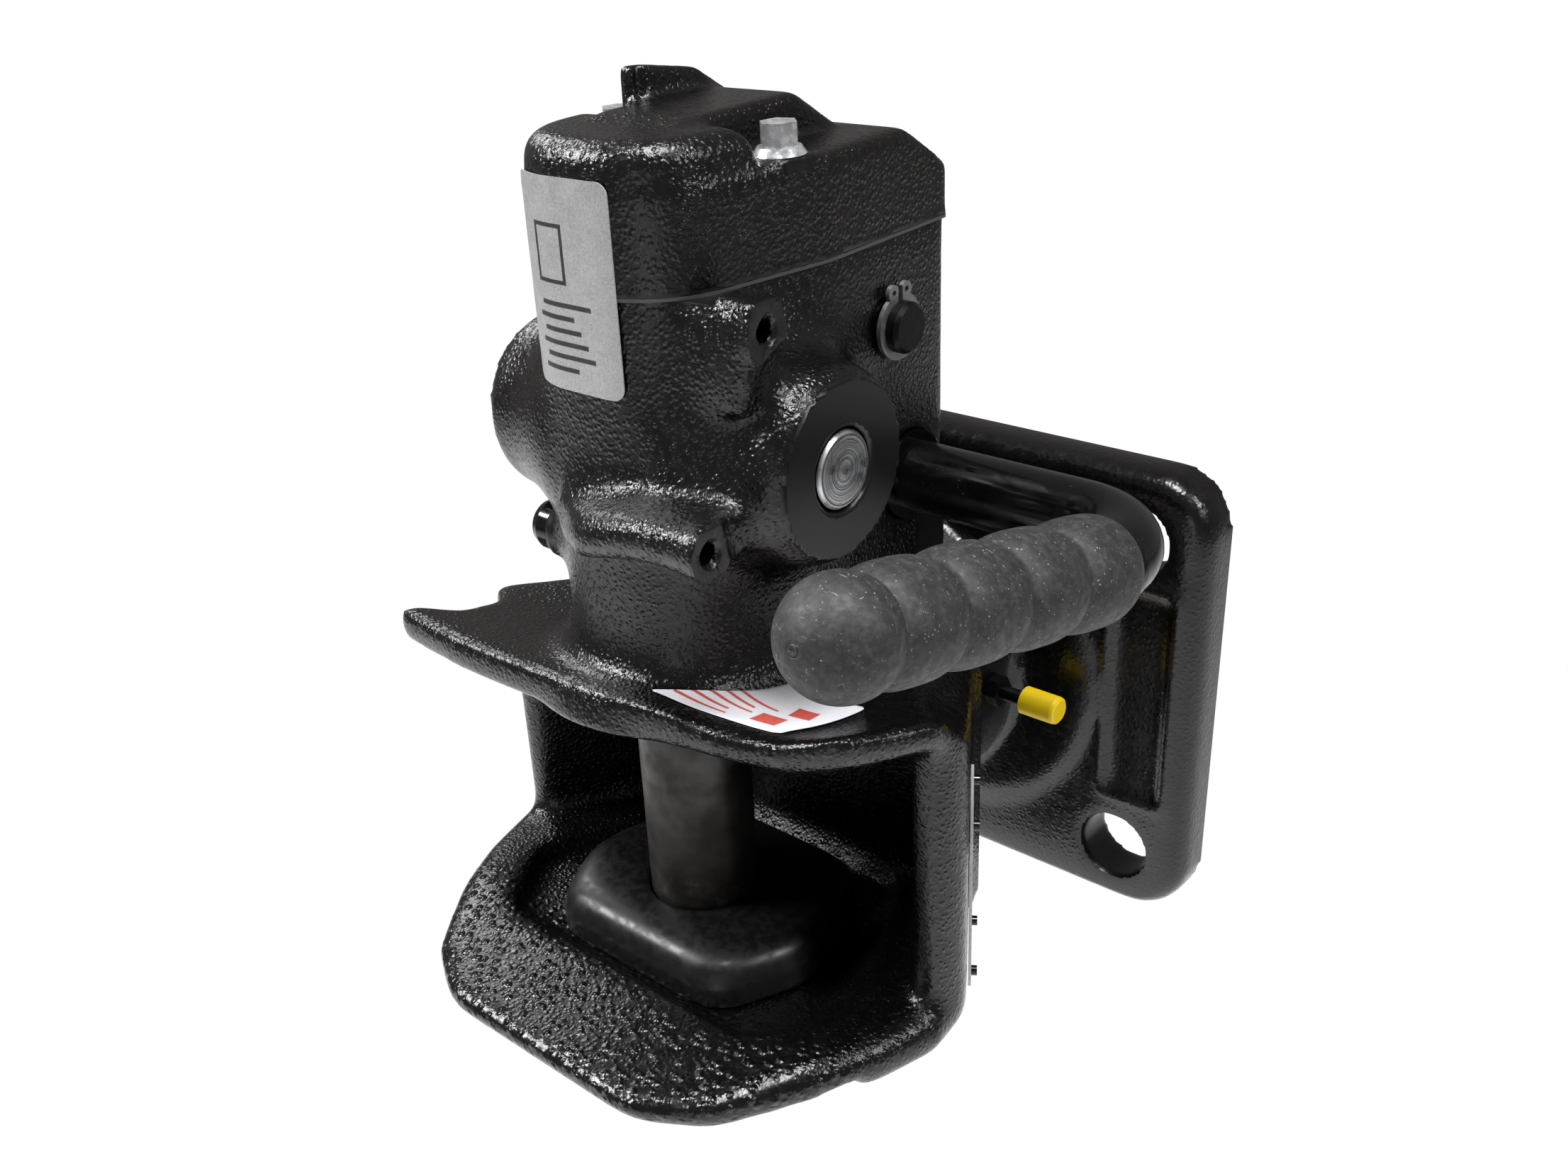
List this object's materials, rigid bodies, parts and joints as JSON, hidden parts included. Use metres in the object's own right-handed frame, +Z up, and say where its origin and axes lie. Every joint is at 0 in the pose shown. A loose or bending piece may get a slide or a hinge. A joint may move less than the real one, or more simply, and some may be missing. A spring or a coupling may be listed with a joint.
{
  "type": "automatic trailer coupling",
  "caption": "Automatic drawbar coupling: swivelling cast catch jaw on a bolted flange, with a lifting pin, hand lever and control plunger.",
  "frame": {"origin": "centre of the flange plate's mounting face, on the axis of the swivel shank", "axes": "+Z up, -Y towards the trailer, +Y towards the vehicle, +X to the side of the hand lever"},
  "size_m": [0.2179, 0.22, 0.2676],
  "materials": {
    "textured_black_paint": "thick black paint over a cast skin, semi-gloss",
    "gloss_black_paint": "smooth gloss black paint",
    "zinc_plated_steel": "bright zinc",
    "turned_steel": "turned bare steel",
    "forged_pin_steel": "dark hardened steel, oiled",
    "blackened_steel": "black oxide",
    "bearing_bronze": "plain turned bronze",
    "bush_polymer": "black bearing polymer",
    "grip_rubber": "matt, dusty",
    "cap_plastic": "moulded yellow",
    "plug_plastic": "gloss black",
    "gasket_sheet": "matt",
    "silver_film": "satin silver film",
    "white_film": "satin white film",
    "plate_aluminium": "satin sheet"
  },
  "bodies": {
    "flange": {"flange_plate": "textured_black_paint", "front_bearing_bush": "bearing_bronze", "rear_bearing_bush": "bearing_bronze", "grease_nipple": "blackened_steel", "nipple_cap": "cap_plastic"},
    "pin": {"coupling_pin": "forged_pin_steel"},
    "hand_lever": {"lever_bar": "gloss_black_paint", "lifting_arm": "blackened_steel", "arm_roll_pin": "blackened_steel", "lever_grip": "grip_rubber"},
    "plunger": {"control_plunger": "turned_steel"},
    "catch_body": {"catch": "blackened_steel"},
    "head": {"head_casting": "textured_black_paint", "thrust_washer": "blackened_steel", "castle_nut": "blackened_steel", "split_pin": "zinc_plated_steel", "cover_gasket": "gasket_sheet", "top_cover": "textured_black_paint", "cover_bolts": "zinc_plated_steel", "guide_sleeve": "turned_steel", "lower_bush": "turned_steel", "support_plate": "gloss_black_paint", "support_plate_bolts": "zinc_plated_steel", "plunger_guide": "blackened_steel", "boss_plug": "plug_plastic", "lever_bushes": "bush_polymer", "pivot_pin": "blackened_steel", "pivot_circlips": "blackened_steel", "side_plug": "plug_plastic", "front_sticker": "silver_film", "lip_sticker": "white_film", "type_plate": "plate_aluminium", "type_plate_rivets": "plate_aluminium"}
  },
  "joints": [
    {"name": "head_swivel", "type": "hinge", "parent": "flange", "child": "head", "pos_m": [0, -0.03, 0], "axis": [0, 1, 0], "range_deg": [-25, 25]},
    {"name": "lever_swing", "type": "hinge", "parent": "head", "child": "hand_lever", "pos_m": [0, -0.05, 0.071], "axis": [-1, 0, 0], "range_deg": [0, 76.7], "stiffness_Nm_per_rad": 1, "springref_deg": -28.65},
    {"name": "pin_lift", "type": "slide", "parent": "head", "child": "pin", "axis": [0, 0, 1], "range_m": [0, 0.072]},
    {"name": "plunger_travel", "type": "slide", "parent": "head", "child": "plunger", "axis": [1, 0, 0], "range_m": [0, 0.012]},
    {"name": "catch_swing", "type": "hinge", "parent": "head", "child": "catch_body", "pos_m": [0, -0.0575, 0.114], "axis": [1, 0, 0], "range_deg": [0, 12]}
  ],
  "couplings": [
    {"joint": "pin_lift", "follows": "lever_swing", "m_per_rad": 0.053762},
    {"joint": "plunger_travel", "follows": "lever_swing", "m_per_rad": 0.00896},
    {"joint": "catch_swing", "follows": "lever_swing", "ratio": 0.1564}
  ]
}
